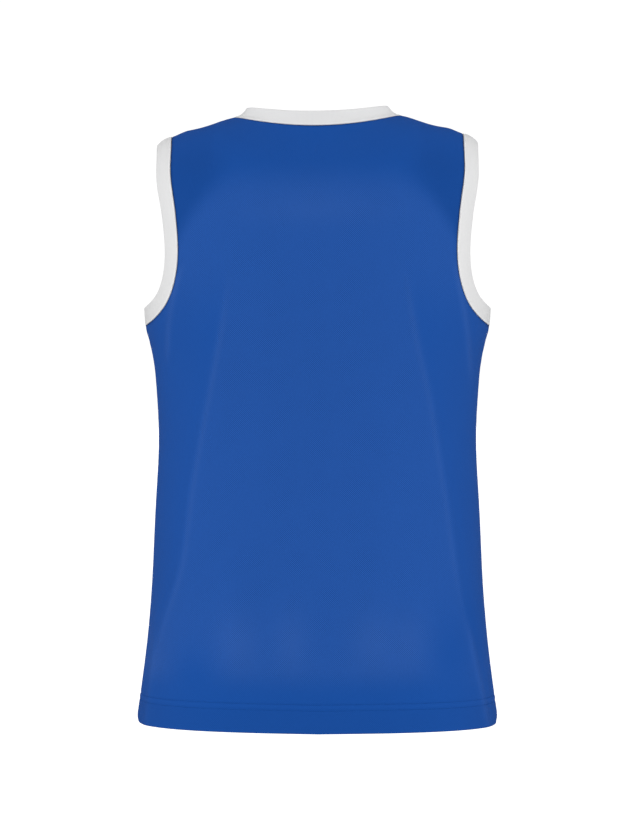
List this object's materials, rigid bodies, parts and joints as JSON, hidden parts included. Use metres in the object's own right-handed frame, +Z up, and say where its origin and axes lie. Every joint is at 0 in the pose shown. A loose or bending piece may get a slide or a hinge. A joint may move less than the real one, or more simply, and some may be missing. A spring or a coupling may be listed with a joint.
{
  "type": "basketball jersey",
  "caption": "Sleeveless knitted sports jersey with rib-bound neck and armholes, filled out as worn, hollow, with open neck, armholes and hem.",
  "frame": {"origin": "midway between the two high shoulder points, where the straps meet the neck band: the place where the wearer's shoulders hold the garment up", "axes": "+Z up, +Y towards the wearer's front, +X towards the wearer's right, so the back faces -Y"},
  "size_m": [0.422, 0.2935, 0.7178],
  "materials": {
    "blue_knit": "matte royal blue polyester micro mesh",
    "pale_rib": "matte off-white rib knit"
  },
  "bodies": {
    "root": {"back_panel": "blue_knit", "front_panel": "blue_knit", "neck_band": "pale_rib", "armhole_band_left": "pale_rib", "armhole_band_right": "pale_rib"}
  },
  "joints": []
}
